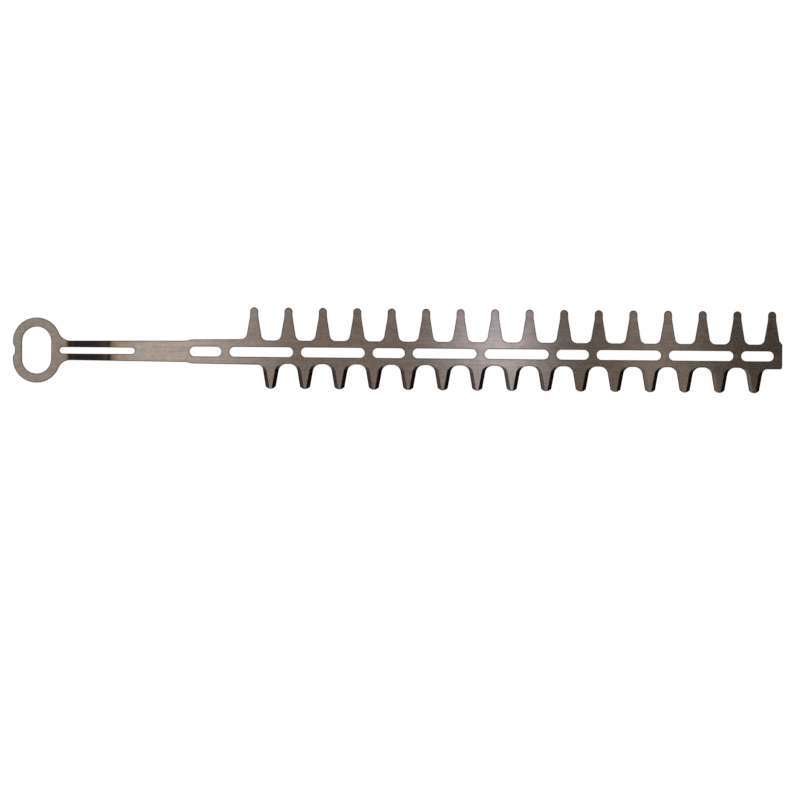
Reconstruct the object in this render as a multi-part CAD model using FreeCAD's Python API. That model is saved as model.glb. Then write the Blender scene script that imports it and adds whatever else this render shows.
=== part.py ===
"""One reciprocating blade of a double-sided hedge trimmer, punched and ground from a single steel plate.

The origin is the centre of the drive eye on the flat mating face. +X runs along the blade to its tip,
+Y points to the long blunt combing teeth and -Y to the short ground cutting teeth, and +Z is up out of
the ground face. Sizes are in millimetres.
"""
import FreeCAD, Part
import math
import os

# Plate
thickness = 2.3
edge_break = 0.5          # how far a plain edge is drawn in at the ground face
break_depth = 0.6         # how far down the wall that rounding starts

# Drive eye and the ring around it
eye_width = 30.0
eye_length = 48.0
ring_wall = 9.2
neck_lean = 22.0          # degrees from straight down, where the ring leaves for the shank
neck_straight = 0.3       # straight stretch between the ring and the neck fillet
notch_depth = 2.1
notch_floor = 3.4         # flat stretch at the bottom of the notch
notch_lead = 1.5          # straight side of the ring next to the notch

# Shank
shank_half_at_ring = 9.85
shank_half_at_step = 10.85
shank_slot_wall = 8.4     # steel between the eye and the slot
shank_slot_length = 77.3
shank_slot_width = 6.6
step_lead = 3.4           # the step starts this far ahead of the first guide slot
step_run = 6.0
step_radius = 8.0

# Body edge before the first teeth and after the last
body_half_at_step = 12.25
body_half_at_teeth = 13.0

# Tooth spacing
first_tooth_x = 222.0
pitch = 35.0
comb_count = 16           # a cutting tooth stands between each pair of combing teeth

# Combing teeth
comb_reach = 45.4
comb_floor = 11.85
comb_root_half = 8.22
comb_root_radius = 6.0
comb_tip_half = 4.1
comb_neck_drop = 8.8      # the parallel tip starts this far below the end
comb_neck_radius = 15.0
comb_tip_break = 0.8      # the tips are rounded over more than the other edges

# Cutting teeth
cut_reach = 37.3
cut_roof = 11.85
cut_root_half = 9.17
cut_tip_half = 4.75       # where the lines of the flanks come down to the depth of the tip
cut_root_radius = 8.0
outer_root_radius = 5.0   # on the outer side of the first and the last cutting tooth
cut_crown_radius = 6.3
cut_crown_turn = 36.0     # degrees that the crown turns on each side of the tooth's middle
cut_corner_radius = 1.1
flank_bevel = 3.75        # width of the ground bevel, seen from above
flank_land = 0.2          # wall left standing under the bevel
bevel_root_radius = 8.0   # the bevel's upper edge turns on this radius at the root
bevel_root_drop = 0.4     # and stays this far below the edge of the body

# Free end
end_margin = 10.55        # from the last combing tooth's centre line to the end
end_shoulder_rise = 3.6
end_shoulder_radius = 2.0
end_corner_radius = 2.4

# Slots along the body, two long ones between each pair of guide slots
slot_width = 10.0
guide_count = 4
guide_length = 32.8
guide_lead = 49.3         # first guide slot's centre, ahead of the first combing tooth
bridge = 7.9              # steel between neighbouring slots
end_land = 8.55           # steel between the last guide slot and the end
long_per_bay = 2

# Places worked out from the sizes above
ring_radius = eye_width / 2 + ring_wall
ring_centre_y = (eye_length - eye_width) / 2
ring_top = ring_centre_y + ring_radius
notch_run = ring_centre_y - notch_lead - notch_floor / 2
notch_corner_slope = notch_depth / notch_run
notch_radius = (notch_run ** 2 + notch_depth ** 2) / (4 * notch_depth)
last_tooth_x = first_tooth_x + (comb_count - 1) * pitch
end_x = last_tooth_x + end_margin
first_guide_x = first_tooth_x - guide_lead
last_guide_x = end_x - end_land - guide_length / 2
guide_spacing = (last_guide_x - first_guide_x) / (guide_count - 1)
long_length = (guide_spacing - guide_length - (long_per_bay + 1) * bridge) / long_per_bay
step_start_x = first_guide_x - guide_length / 2 - step_lead
step_end_x = step_start_x + step_run
comb_slope = (comb_root_half - comb_tip_half) / (comb_reach - comb_neck_drop - comb_floor)
cut_slope = (cut_root_half - cut_tip_half) / (cut_reach - cut_roof)
cut_lean = math.atan(cut_slope)
crown_slope = math.radians(cut_crown_turn)
cut_tooth_places = [first_tooth_x + (i + 0.5) * pitch for i in range(comb_count - 1)]
comb_tooth_places = [first_tooth_x + i * pitch for i in range(comb_count)]

SHORTEST_EDGE = 1e-4
TOOL_OVERRUN = 0.3        # how far a bevel cutter reaches past the steel
RUN_OUT_ANGLE = 120.0     # degrees round the root, by which a bevel cutter has left the steel


class Level:
    """How far each kind of edge is drawn in at one height of the plate."""

    def __init__(self, z):
        rounded = max(0.0, (z - (thickness - break_depth)) / break_depth)
        self.z = z
        self.edge = edge_break * rounded
        self.comb_tip = comb_tip_break * rounded


def rounded_wire(corners, z):
    """A closed wire through (x, y, radius) corners, with a tangent arc in place of each corner."""
    points = [FreeCAD.Vector(x, y, z) for x, y, _ in corners]
    arcs = []
    for i, (_, _, radius) in enumerate(corners):
        here = points[i]
        back = (points[i - 1] - here).normalize()
        ahead = (points[(i + 1) % len(points)] - here).normalize()
        half_angle = back.getAngle(ahead) / 2
        middle_way = (back + ahead).normalize()
        tangent_run = radius / math.tan(half_angle)
        arc_middle = here + middle_way * (radius / math.sin(half_angle) - radius)
        arcs.append((here + back * tangent_run, arc_middle, here + ahead * tangent_run))
    edges = []
    for i, (start, middle, end) in enumerate(arcs):
        edges.append(Part.Arc(start, middle, end).toShape())
        next_start = arcs[(i + 1) % len(arcs)][0]
        if end.distanceToPoint(next_start) > SHORTEST_EDGE:
            edges.append(Part.LineSegment(end, next_start).toShape())
    return Part.Wire(edges)


def mirrored(corners):
    """The same corners reflected in the blade's axis, in the opposite order."""
    return [(x, -y, radius) for x, y, radius in reversed(corners)]


def notch_corners(level):
    """The +Y half of the notch in the ring: an arc off the ring's side, then one down to the flat floor."""
    side_x = level.edge - ring_radius
    side_radius = notch_radius - level.edge
    floor_radius = notch_radius + level.edge
    return [
        (side_x, ring_centre_y - notch_lead - side_radius * notch_corner_slope, side_radius),
        (side_x + notch_depth, notch_floor / 2 + floor_radius * notch_corner_slope, floor_radius),
    ]


def ring_and_shank_corners(level):
    """The +Y half of the drive end: from the step in the shank back to the notch in the ring."""
    radius = ring_radius - level.edge
    top = ring_top - level.edge
    shank = shank_half_at_ring - level.edge
    lean = math.radians(neck_lean)
    touch_x = radius * math.cos(lean)
    touch_y = ring_centre_y + radius * math.sin(lean)
    neck_run = (touch_y - shank) / math.cos(lean)
    neck_x = touch_x + neck_run * math.sin(lean)
    neck_half_turn = (math.radians(90) - lean) / 2
    neck_radius = (neck_run - neck_straight) / math.tan(neck_half_turn)
    return [
        (step_end_x, body_half_at_step - level.edge, step_radius - level.edge),
        (step_start_x, shank_half_at_step - level.edge, step_radius + level.edge),
        (neck_x, shank, neck_radius),
        (radius * math.tan(neck_half_turn), top, radius),
        (-radius, top, radius),
    ] + notch_corners(level)


def flank_half(level, root_half, slope, distance):
    """Half the width of a tooth between its sloping flanks, at one distance from its root."""
    return root_half - slope * distance - level.edge * math.hypot(1, slope)


def cut_flank_half(level, depth):
    """Half the width of a cutting tooth at one distance below the blade's axis."""
    return flank_half(level, cut_root_half, cut_slope, depth - cut_roof)


def cut_root_corner(level, edge_depth, radius):
    """Where a cutting flank meets an edge of the body, from the tooth's centre line."""
    depth = edge_depth - level.edge
    return (cut_flank_half(level, depth), -depth, radius + level.edge)


def cut_roots(x):
    """Depth and fillet radius of the roots on the -X and +X side of one cutting tooth."""
    inner_root = (cut_roof, cut_root_radius)
    outer_root = (body_half_at_teeth, outer_root_radius)
    left = outer_root if x == cut_tooth_places[0] else inner_root
    right = outer_root if x == cut_tooth_places[-1] else inner_root
    return left, right


def cut_tooth_corners(level, x):
    """One cutting tooth from -X to +X, with a crowned tip."""
    crown_rounding = cut_crown_radius * (1 / math.cos(crown_slope) - 1)
    apex_depth = cut_reach + crown_rounding - level.edge / math.cos(crown_slope)
    corner_half = cut_flank_half(level, apex_depth) / (1 - cut_slope * math.tan(crown_slope))
    corner_depth = apex_depth - corner_half * math.tan(crown_slope)
    corner = (corner_half, -corner_depth, cut_corner_radius - level.edge)
    apex = (x, -apex_depth, cut_crown_radius - level.edge)
    left_root, right_root = [cut_root_corner(level, *root) for root in cut_roots(x)]
    left = [(x - dx, y, r) for dx, y, r in (left_root, corner)]
    right = [(x + dx, y, r) for dx, y, r in (corner, right_root)]
    return left + [apex] + right


def bevel_wire(x, side, root, z):
    """The edge of one ground bevel at one height: up the flank and round the root, where it runs out."""
    edge_depth, root_radius = root
    run_out_depth = edge_depth + bevel_root_drop
    half_turn = (math.radians(90) - cut_lean) / 2
    root_end = cut_flank_half(Level(0.0), edge_depth) + root_radius * math.tan(half_turn)
    bevel_half = cut_flank_half(Level(0.0), run_out_depth) - flank_bevel
    centre_half = bevel_half + bevel_root_radius * math.tan(half_turn)
    centre_depth = run_out_depth + bevel_root_radius
    below_top = (thickness - z) / (thickness - flank_land)
    radius = bevel_root_radius - flank_bevel * math.cos(cut_lean) * below_top
    flank_run = cut_reach + TOOL_OVERRUN - centre_depth + bevel_root_radius * math.sin(cut_lean)
    last_angle = math.radians(RUN_OUT_ANGLE)

    def place(dx, depth):
        return FreeCAD.Vector(x + side * dx, -depth, z)

    def around(angle):
        return place(centre_half - radius * math.cos(angle), centre_depth - radius * math.sin(angle))

    touch = around(cut_lean)
    end = around(last_angle)
    start = touch - FreeCAD.Vector(side * cut_slope, 1, 0) * flank_run
    corner = place(root_end, cut_reach + TOOL_OVERRUN)
    arc = Part.Arc(touch, around((cut_lean + last_angle) / 2), end)
    lines = [Part.LineSegment(*ends) for ends in ((end, corner), (corner, start), (start, touch))]
    return Part.Wire([curve.toShape() for curve in (arc, *lines)])


def bevel_cutters():
    """A cutter for each flank of each cutting tooth: a sloping plane that turns into a cone at the root."""
    cutters = []
    for x in cut_tooth_places:
        for side, root in zip((-1, 1), cut_roots(x)):
            heights = (-TOOL_OVERRUN, thickness + TOOL_OVERRUN)
            cutters.append(Part.makeLoft([bevel_wire(x, side, root, z) for z in heights], True, True))
    return cutters


def comb_flank_half(level, y):
    """Half the width of a combing tooth at one distance above the blade's axis, below its parallel tip."""
    return flank_half(level, comb_root_half, comb_slope, y - comb_floor)


def comb_root_corner(level, edge_y):
    """Where a combing flank meets an edge of the body, from the tooth's centre line."""
    y = edge_y - level.edge
    return (comb_flank_half(level, y), y, comb_root_radius + level.edge)


def comb_tooth_corners(level, x):
    """One combing tooth from +X to -X, with a parallel full-round tip."""
    half = comb_tip_half - level.edge
    neck_y = comb_floor + (comb_flank_half(level, comb_floor) - half) / comb_slope
    neck = (half, neck_y, comb_neck_radius + level.edge)
    tip = (half, comb_reach - level.comb_tip, half)
    right_root = [comb_root_corner(level, comb_floor)]
    left_root = comb_root_corner(level, comb_floor)
    if x == comb_tooth_places[0]:
        left_root = comb_root_corner(level, body_half_at_teeth)
    if x == comb_tooth_places[-1]:
        right_root = end_corners(level)
    right = right_root + [neck, tip]
    left = [tip, neck, left_root]
    return [(x + dx, y, r) for dx, y, r in right] + [(x - dx, y, r) for dx, y, r in left]


def end_corners(level):
    """The free end, from its lower corner up to the shoulder under the last combing tooth."""
    side = end_margin - level.edge
    shoulder_y = comb_floor + end_shoulder_rise
    return [
        (side, level.edge - body_half_at_teeth, end_corner_radius - level.edge),
        (side, comb_floor, end_shoulder_radius - level.edge),
        (comb_flank_half(level, shoulder_y), shoulder_y, end_shoulder_radius + level.edge),
    ]


def outline(level):
    """The whole outline at one height, counter-clockwise from the notch in the ring."""
    drive_end = ring_and_shank_corners(level)
    corners = mirrored(drive_end)
    for x in cut_tooth_places:
        corners += cut_tooth_corners(level, x)
    for x in reversed(comb_tooth_places):
        corners += comb_tooth_corners(level, x)
    return rounded_wire(corners + drive_end, level.z)


def obround_wire(x, half_x, half_y, z):
    """A closed obround about (x, 0)."""
    radius = min(half_x, half_y)
    signs = [(-1, -1), (1, -1), (1, 1), (-1, 1)]
    return rounded_wire([(x + sx * half_x, sy * half_y, radius) for sx, sy in signs], z)


def obround_cutter(x, length_x, length_y):
    """A cutter for an obround hole whose edge is broken at the ground face."""
    plain = (length_x / 2, length_y / 2)
    wide = (plain[0] + edge_break, plain[1] + edge_break)
    heights = [(-thickness, plain), (thickness - break_depth, plain), (thickness, wide)]
    wires = [obround_wire(x, half_x, half_y, z) for z, (half_x, half_y) in heights]
    return Part.makeLoft(wires, True, True)


def slot_cutters():
    """Cutters for the drive eye, the shank slot, the guide slots and the long slots between them."""
    shank_slot_x = eye_width / 2 + shank_slot_wall + shank_slot_length / 2
    cutters = [
        obround_cutter(0.0, eye_width, eye_length),
        obround_cutter(shank_slot_x, shank_slot_length, shank_slot_width),
    ]
    for i in range(guide_count):
        guide_x = first_guide_x + i * guide_spacing
        cutters.append(obround_cutter(guide_x, guide_length, slot_width))
        if i == guide_count - 1:
            break
        for j in range(long_per_bay):
            start = guide_x + guide_length / 2 + bridge + j * (long_length + bridge)
            cutters.append(obround_cutter(start + long_length / 2, long_length, slot_width))
    return cutters


def trimmer_blade():
    """The plate lofted through its outlines, with the slots cut out and the cutting teeth ground."""
    levels = [Level(0.0), Level(thickness - break_depth), Level(thickness)]
    plate = Part.makeLoft([outline(level) for level in levels], True, True)
    return plate.cut(slot_cutters() + bevel_cutters())


os.makedirs("parts", exist_ok=True)
trimmer_blade().exportStep("parts/trimmer_blade.step")
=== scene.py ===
"""Looks of a hedge trimmer blade: one plate of ground steel that lies flat on a plain white floor.

Everything is in metres, in the solid's own frame: the origin is the centre of the drive eye on the flat
face, +X runs to the free end, +Y to the combing teeth and +Z up out of the ground face.
"""
import math

import bpy
from mathutils import Matrix

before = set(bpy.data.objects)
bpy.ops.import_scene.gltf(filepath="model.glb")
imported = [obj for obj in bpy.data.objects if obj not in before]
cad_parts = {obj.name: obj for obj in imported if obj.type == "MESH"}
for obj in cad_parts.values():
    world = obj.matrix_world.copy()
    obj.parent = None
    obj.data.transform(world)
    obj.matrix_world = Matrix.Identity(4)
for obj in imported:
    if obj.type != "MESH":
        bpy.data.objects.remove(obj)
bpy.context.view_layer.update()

BLADE = "trimmer_blade"

# Camera, almost straight above the blade
LENS_MM = 135.0
SENSOR_MM = 36.0
CAMERA_X = 0.4755
CAMERA_Y = -0.0475
CAMERA_HEIGHT = 3.0458
CAMERA_YAW = math.radians(1.961)
CAMERA_ROLL = math.radians(0.533)

# Floor and room
FLOOR_DROP = 0.0001              # the floor stays this far clear of the blade
FLOOR_HALF = 15.0
FLOOR_COLOUR = (0.85, 0.85, 0.85, 1.0)
FLOOR_GLOW = 0.66                # added where the floor is seen or mirrored, so that its white stays white
ROOM_COLOUR = (1.0, 1.0, 1.0, 1.0)
ROOM_LIGHT = 0.55                # what the room throws on the floor, where white is 1

# Card above the blade: each x is the place on the blade where the camera sees it mirrored
CARD_HEIGHT = 0.5
CARD_CENTRE_Y = 0.0125
CARD_HALF_WIDTH = 0.10
CARD_SLANT = 0.1                 # the glow leans this far towards -X for each step towards +Y
CARD_STOPS = [
    (-0.10, (0.57, 0.56, 0.53)),
    (0.02, (0.57, 0.56, 0.53)),
    (0.28, (0.31, 0.28, 0.26)),
    (0.45, (0.31, 0.29, 0.27)),
    (0.57, (0.155, 0.135, 0.105)),
    (0.75, (0.078, 0.064, 0.053)),
    (0.85, (0.078, 0.064, 0.053)),
]

# Soft lamps in that card: where each one rises and falls, what it adds, and its share off the middle
LAMP_MIDDLE_Y = 0.018
LAMP_HALF_WIDTH = 0.020
LAMPS = [
    ((0.03, 0.11), (0.161, 0.271), (0.46, 0.46, 0.47), 0.92),
    ((0.394, 0.482), (0.475, 0.535), (1.60, 1.69, 2.09), 0.37),
    ((0.588, 0.615), (0.626, 0.707), (0.32, 0.30, 0.285), 1.0),
]

# Cards at the two ends and in front, which the bevels of the cutting teeth mirror
SIDE_CARD_BACK_Y = -0.06
FRONT_CARD_Y = -1.10
UPRIGHT_CARD_LOW = 0.45
UPRIGHT_CARD_HIGH = 1.8
LEFT_CARD_X = -1.2
LEFT_CARD_STOPS = [              # by height
    (0.55, (0.090, 0.082, 0.074)),
    (0.70, (0.118, 0.107, 0.096)),
    (1.00, (0.268, 0.244, 0.220)),
    (1.10, (0.365, 0.332, 0.301)),
    (1.18, (0.555, 0.504, 0.459)),
    (1.32, (0.575, 0.522, 0.475)),
    (1.42, (0.440, 0.400, 0.364)),
]
RIGHT_CARD_X = 2.0
RIGHT_CARD_COLOUR = (0.018, 0.016, 0.015, 1.0)
FRONT_CARD_STOPS = [             # by x
    (-1.1, (0.20, 0.182, 0.165)),
    (-0.6, (0.44, 0.401, 0.362)),
    (0.5, (0.50, 0.456, 0.412)),
    (1.1, (0.08, 0.073, 0.066)),
]

# Steel, by the way each face is finished, with painted shade on the punched edges
STEEL = (0.437, 0.370, 0.324)
STEEL_ROUGHNESS = (0.14, 0.20)   # across the grain
BEVEL_TONE = 0.6
BEVEL_ROUGHNESS = 0.10
# painted shade: the punched edges are painted this dark in place of the dark they would mirror
EDGE_PAINTED_SHADE = (0.045, 0.040, 0.036)
EDGE_ROUGHNESS = 0.45
FLAT_NORMAL = (0.95, 0.99)       # a face is part of the flat where its normal is this upright
BEVEL_NORMAL = (0.72, 0.80)      # and of a ground bevel from here, on the side of the cutting teeth
BEVEL_START_Y = (-0.0115, -0.0120)

# Painted shade on the rim of the flat beside a punched edge
RIM_RADIUS = 0.0022
RIM_SAMPLES = 8
RIM_FACING = (0.99, 0.86)        # the rim darkens as its rounded normal turns away from the flat
# the darkest tone of the painted shade on the rim of the flat
RIM_PAINTED_SHADE = 0.30

# Marks of the grinding along the blade
NOISE_DETAIL = 2.0
SOFT_NOISE = (0.2, 0.8)          # the part of the noise that soft marks go by
SHARP_NOISE = (0.3, 0.7)         # and the part that sharper marks go by
GRAIN_LENGTH = 0.030
GRAIN_WIDTH = 0.00025
GRAIN_DEPTH = 0.00002
GRAIN_BUMP = 0.15
STREAK_LENGTH = 0.060
STREAK_WIDTH = 0.0012
STREAK_TONES = (0.87, 1.13)
MOTTLE_SIZE = 0.005
MOTTLE_DETAIL = 4.0
MOTTLE_TONE = 0.13

# Marks of the punch down the edges
PUNCH_WIDTH = 0.0004
PUNCH_LENGTH = 0.012
PUNCH_TONES = (0.55, 1.45)

# Heat band across the shank: tints of the oxide film on the steel, by x
HEAT_WOBBLE = 0.0016
HEAT_SLANT = 0.045               # the band leans this far towards -X for each step towards +Y
HEAT_STOPS = [
    (0.0240, (1.00, 1.00, 1.00)),
    (0.0300, (0.92, 0.86, 0.74)),
    (0.0322, (0.34, 0.25, 0.18)),
    (0.0340, (0.09, 0.06, 0.05)),
    (0.0370, (0.13, 0.115, 0.12)),
    (0.0405, (0.078, 0.070, 0.082)),
    (0.0600, (0.078, 0.068, 0.082)),
    (0.0660, (0.095, 0.092, 0.110)),
    (0.0708, (0.175, 0.15, 0.16)),
    (0.0743, (0.085, 0.055, 0.042)),
    (0.0762, (0.34, 0.25, 0.18)),
    (0.0785, (0.70, 0.58, 0.43)),
    (0.0850, (0.85, 0.80, 0.72)),
    (0.1040, (1.00, 1.00, 1.00)),
]


def add_node(tree, kind, inputs=None, **settings):
    """A new node with its settings, each input linked to a socket or set to a value."""
    node = tree.nodes.new(kind)
    for name, value in settings.items():
        setattr(node, name, value)
    for key, value in (inputs or {}).items():
        if isinstance(value, bpy.types.NodeSocket):
            tree.links.new(value, node.inputs[key])
        else:
            node.inputs[key].default_value = value
    return node


def maths(tree, operation, *values):
    return add_node(tree, "ShaderNodeMath", dict(enumerate(values)), operation=operation).outputs[0]


def vector_maths(tree, operation, *values):
    node = add_node(tree, "ShaderNodeVectorMath", dict(enumerate(values)), operation=operation)
    return node.outputs[0]


def scaled(tree, colour, factor):
    inputs = {0: colour, "Scale": factor}
    return add_node(tree, "ShaderNodeVectorMath", inputs, operation="SCALE").outputs[0]


def split(tree, vector):
    return add_node(tree, "ShaderNodeSeparateXYZ", {0: vector}).outputs


def between(tree, value, ends, at_first=0.0, at_last=1.0):
    """A smooth step from one value to another, as the input goes from the first end to the last."""
    first, last = ends
    inputs = {"Value": value, "From Min": first, "From Max": last, "To Min": at_first, "To Max": at_last}
    return add_node(tree, "ShaderNodeMapRange", inputs, interpolation_type="SMOOTHSTEP").outputs[0]


def mixed(tree, factor, first, second):
    """A colour that goes from the first to the second as the factor goes from 0 to 1."""
    node = add_node(tree, "ShaderNodeMix", {"Factor": factor}, data_type="RGBA")
    sockets = [socket for socket in node.inputs if socket.type == "RGBA"]
    for socket, colour in zip(sockets, (first, second)):
        tree.links.new(colour, socket)
    return next(socket for socket in node.outputs if socket.type == "RGBA")


def mixed_number(tree, factor, first, second):
    """A number that goes from the first to the second as the factor goes from 0 to 1."""
    return add_node(tree, "ShaderNodeMix", {"Factor": factor, "A": first, "B": second}).outputs[0]


def ramp(tree, value, stops):
    """Colours at places along the input, blended evenly between them."""
    low, high = stops[0][0], stops[-1][0]
    inputs = {"Value": value, "From Min": low, "From Max": high}
    factor = add_node(tree, "ShaderNodeMapRange", inputs).outputs[0]
    node = add_node(tree, "ShaderNodeValToRGB", {0: factor})
    elements = node.color_ramp.elements
    while len(elements) < len(stops):
        elements.new(1.0)
    for element, (place, colour) in zip(elements, stops):
        element.position = (place - low) / (high - low)
        element.color = (*colour, 1.0)
    return node.outputs[0]


def noise(tree, place, size, detail=NOISE_DETAIL):
    """Noise whose marks have about this size along X, Y and Z."""
    inputs = {"Vector": vector_maths(tree, "DIVIDE", place, size), "Scale": 1.0, "Detail": detail}
    return add_node(tree, "ShaderNodeTexNoise", inputs).outputs[0]


def seen_directly(tree):
    """1 for camera, glossy and transmission rays, and 0 for the rest."""
    path = add_node(tree, "ShaderNodeLightPath")
    seen = maths(tree, "MAXIMUM", path.outputs["Is Camera Ray"], path.outputs["Is Glossy Ray"])
    return maths(tree, "MAXIMUM", seen, path.outputs["Is Transmission Ray"])


def new_material(name):
    material = bpy.data.materials.new(name)
    material.use_nodes = True
    material.node_tree.nodes.clear()
    return material, material.node_tree


def output(tree, shader, kind="ShaderNodeOutputMaterial"):
    add_node(tree, kind, {"Surface": shader})


def plate(name, corners, material):
    """A flat four-sided sheet of the studio, not of the object."""
    mesh = bpy.data.meshes.new(name)
    mesh.from_pydata(corners, [], [range(len(corners))])
    mesh.materials.append(material)
    obj = bpy.data.objects.new(name, mesh)
    bpy.context.scene.collection.objects.link(obj)
    return obj


def finish_masks(tree, place, normal):
    """Where the steel is ground flat, and where it is ground to a bevel. The rest is punched edge."""
    upright = maths(tree, "ABSOLUTE", split(tree, normal)[2])
    y = split(tree, place)[1]
    flat = between(tree, upright, FLAT_NORMAL)
    sloping = maths(tree, "SUBTRACT", between(tree, upright, BEVEL_NORMAL), flat)
    return flat, maths(tree, "MULTIPLY", sloping, between(tree, y, BEVEL_START_Y))


def painted_shade_on_rim(tree, normal):
    """Painted shade that darkens the flat along its punched edges."""
    rounded = add_node(tree, "ShaderNodeBevel", {"Radius": RIM_RADIUS}, samples=RIM_SAMPLES).outputs[0]
    facing = add_node(tree, "ShaderNodeVectorMath", {0: rounded, 1: normal}, operation="DOT_PRODUCT")
    return between(tree, facing.outputs["Value"], RIM_FACING, 1.0, RIM_PAINTED_SHADE)


def ground_tone(tree, place, mottle):
    """A tone about 1 that follows the streaks of the grinding and the mottle."""
    streak = noise(tree, place, (STREAK_LENGTH, STREAK_WIDTH, STREAK_LENGTH))
    streaks = between(tree, streak, SOFT_NOISE, *STREAK_TONES)
    return maths(tree, "ADD", streaks, between(tree, mottle, SOFT_NOISE, -MOTTLE_TONE, MOTTLE_TONE))


def heat_tint(tree, place, mottle):
    """The tint of the heat band, whose edges lean and wander a little."""
    x, y = split(tree, place)[:2]
    along = maths(tree, "MULTIPLY_ADD", y, HEAT_SLANT, x)
    wobble = between(tree, mottle, (0.0, 1.0), -HEAT_WOBBLE / 2, HEAT_WOBBLE / 2)
    return ramp(tree, maths(tree, "ADD", along, wobble), HEAT_STOPS)


def punched_edge_painted_shade(tree, place):
    """Painted shade on the punched edges, with marks of the punch that run down them."""
    punch = noise(tree, place, (PUNCH_WIDTH, PUNCH_WIDTH, PUNCH_LENGTH))
    return vector_maths(tree, "MULTIPLY", between(tree, punch, SHARP_NOISE, *PUNCH_TONES), EDGE_PAINTED_SHADE)


def ground_steel():
    """Ground spring steel with a heat band across the shank, and painted shade on its punched edges and on
    the rim of the flat beside them.
    """
    material, tree = new_material("ground_steel_and_painted_edge_shade")
    coordinates = add_node(tree, "ShaderNodeTexCoord")
    place = coordinates.outputs["Object"]
    normal = coordinates.outputs["Normal"]
    flat, bevel = finish_masks(tree, place, normal)
    ground = maths(tree, "MAXIMUM", flat, bevel)
    grain = noise(tree, place, (GRAIN_LENGTH, GRAIN_WIDTH, GRAIN_LENGTH))
    mottle = noise(tree, place, (MOTTLE_SIZE,) * 3, MOTTLE_DETAIL)

    # the grinding streaks, darkened by the painted shade along the rim of the flat
    tone = maths(tree, "MULTIPLY", ground_tone(tree, place, mottle), painted_shade_on_rim(tree, normal))
    tinted = vector_maths(tree, "MULTIPLY", heat_tint(tree, place, mottle), STEEL)
    steel = scaled(tree, tinted, tone)
    ground_colour = mixed(tree, bevel, steel, scaled(tree, steel, BEVEL_TONE))
    # the punched edges take the painted shade
    colour = mixed(tree, ground, punched_edge_painted_shade(tree, place), ground_colour)

    rough = between(tree, grain, SHARP_NOISE, *STEEL_ROUGHNESS)
    rough = mixed_number(tree, bevel, rough, BEVEL_ROUGHNESS)
    rough = mixed_number(tree, ground, EDGE_ROUGHNESS, rough)
    bump_inputs = {"Height": grain, "Strength": GRAIN_BUMP, "Distance": GRAIN_DEPTH}
    bump = add_node(tree, "ShaderNodeBump", bump_inputs).outputs[0]
    inputs = {"Base Color": colour, "Roughness": rough, "Metallic": 1.0, "Normal": bump}
    output(tree, add_node(tree, "ShaderNodeBsdfPrincipled", inputs).outputs[0])
    return material


def make_floor():
    material, tree = new_material("white_floor")
    paper = add_node(tree, "ShaderNodeBsdfDiffuse", {"Color": FLOOR_COLOUR}).outputs[0]
    strength = maths(tree, "MULTIPLY", seen_directly(tree), FLOOR_GLOW)
    glow = add_node(tree, "ShaderNodeEmission", {"Strength": strength}).outputs[0]
    output(tree, add_node(tree, "ShaderNodeAddShader", {0: paper, 1: glow}).outputs[0])
    sides = ((-1, -1), (1, -1), (1, 1), (-1, 1))
    plate("floor", [(sx * FLOOR_HALF, sy * FLOOR_HALF, -FLOOR_DROP) for sx, sy in sides], material)


def make_room():
    """A plain white room: white where it is seen or mirrored, and a soft even light elsewhere."""
    world = bpy.data.worlds.new("room")
    world.use_nodes = True
    bpy.context.scene.world = world
    tree = world.node_tree
    tree.nodes.clear()
    strength = between(tree, seen_directly(tree), (0.0, 1.0), ROOM_LIGHT, 1.0)
    background = add_node(tree, "ShaderNodeBackground", {"Color": ROOM_COLOUR, "Strength": strength})
    output(tree, background.outputs[0], "ShaderNodeOutputWorld")


def make_card(name, corners, glow_at):
    """A glowing card that shows only where steel mirrors it."""
    material, tree = new_material(name)
    place = add_node(tree, "ShaderNodeTexCoord").outputs["Object"]
    glow = glow_at(tree, place)
    output(tree, add_node(tree, "ShaderNodeEmission", {"Color": glow, "Strength": 1.0}).outputs[0])
    card = plate(name, corners, material)
    card.visible_camera = False
    card.visible_diffuse = False
    card.visible_shadow = False


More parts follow.
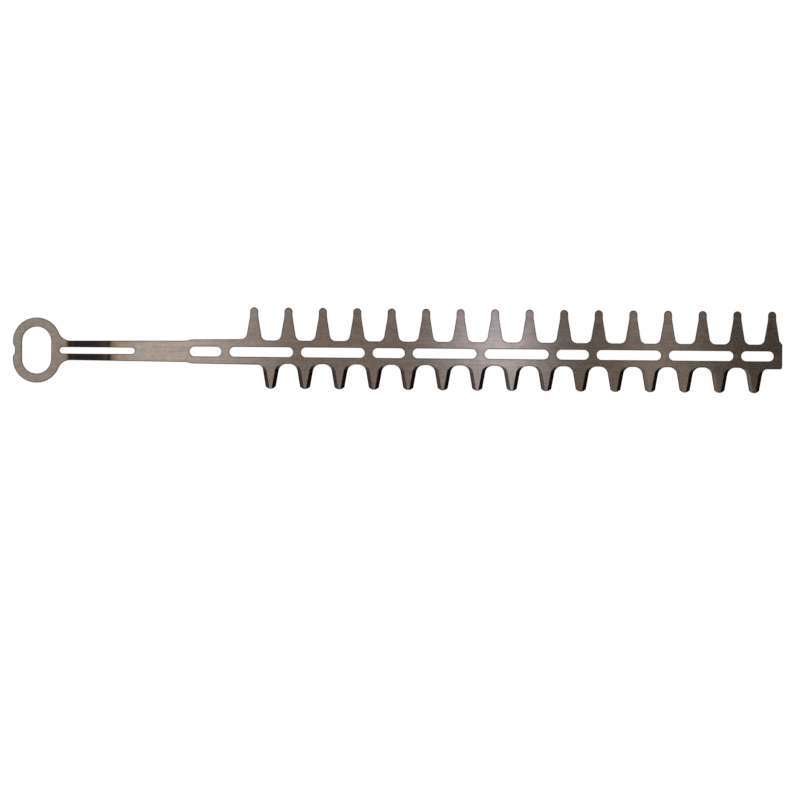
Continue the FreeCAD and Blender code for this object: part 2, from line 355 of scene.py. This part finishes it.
def make_overhead_card():
    ratio = CARD_HEIGHT / CAMERA_HEIGHT

    def glow_at(tree, place):
        x, y = split(tree, place)[:2]
        slanted = maths(tree, "MULTIPLY_ADD", y, CARD_SLANT, x)
        shifted = maths(tree, "ADD", slanted, CAMERA_X * ratio)
        seen_x = maths(tree, "DIVIDE", shifted, 1 + ratio)
        off_middle = maths(tree, "ABSOLUTE", maths(tree, "SUBTRACT", y, LAMP_MIDDLE_Y))
        glow = ramp(tree, seen_x, CARD_STOPS)
        for rise, fall, colour, outer_share in LAMPS:
            rising = between(tree, seen_x, rise)
            falling = between(tree, seen_x, fall, 1.0, 0.0)
            across = between(tree, off_middle, (0.0, LAMP_HALF_WIDTH), 1.0, outer_share)
            lit = maths(tree, "MULTIPLY", maths(tree, "MULTIPLY", rising, falling), across)
            glow = vector_maths(tree, "ADD", glow, vector_maths(tree, "MULTIPLY", lit, colour))
        return glow

    left, right = [x + (x - CAMERA_X) * ratio for x in (CARD_STOPS[0][0], CARD_STOPS[-1][0])]
    front, back = CARD_CENTRE_Y - CARD_HALF_WIDTH, CARD_CENTRE_Y + CARD_HALF_WIDTH
    sides = ((left, front), (right, front), (right, back), (left, back))
    make_card("overhead_card", [(x, y, CARD_HEIGHT) for x, y in sides], glow_at)


def make_upright_card(name, start, end, glow_at):
    """A card that stands over the line from one point of the floor to another."""
    corners = [(*start, UPRIGHT_CARD_LOW), (*end, UPRIGHT_CARD_LOW)]
    corners += [(*end, UPRIGHT_CARD_HIGH), (*start, UPRIGHT_CARD_HIGH)]
    make_card(name, corners, glow_at)


def make_upright_cards():
    def left_glow(tree, place):
        return ramp(tree, split(tree, place)[2], LEFT_CARD_STOPS)

    def right_glow(tree, place):
        return RIGHT_CARD_COLOUR

    def front_glow(tree, place):
        return ramp(tree, split(tree, place)[0], FRONT_CARD_STOPS)

    left_front, left_back = (LEFT_CARD_X, FRONT_CARD_Y), (LEFT_CARD_X, SIDE_CARD_BACK_Y)
    right_front, right_back = (RIGHT_CARD_X, FRONT_CARD_Y), (RIGHT_CARD_X, SIDE_CARD_BACK_Y)
    make_upright_card("left_card", left_front, left_back, left_glow)
    make_upright_card("right_card", right_front, right_back, right_glow)
    make_upright_card("front_card", left_front, right_front, front_glow)


def make_camera():
    data = bpy.data.cameras.new("camera")
    data.lens = LENS_MM
    data.sensor_width = SENSOR_MM
    camera = bpy.data.objects.new("camera", data)
    bpy.context.scene.collection.objects.link(camera)
    place = Matrix.Translation((CAMERA_X, CAMERA_Y, CAMERA_HEIGHT))
    turn = Matrix.Rotation(CAMERA_YAW, 4, "Y") @ Matrix.Rotation(CAMERA_ROLL, 4, "Z")
    camera.matrix_world = place @ turn
    bpy.context.scene.camera = camera


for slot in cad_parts[BLADE].material_slots:
    slot.material = ground_steel()
make_floor()
make_room()
make_overhead_card()
make_upright_cards()
make_camera()
bpy.context.scene.view_settings.view_transform = "Standard"
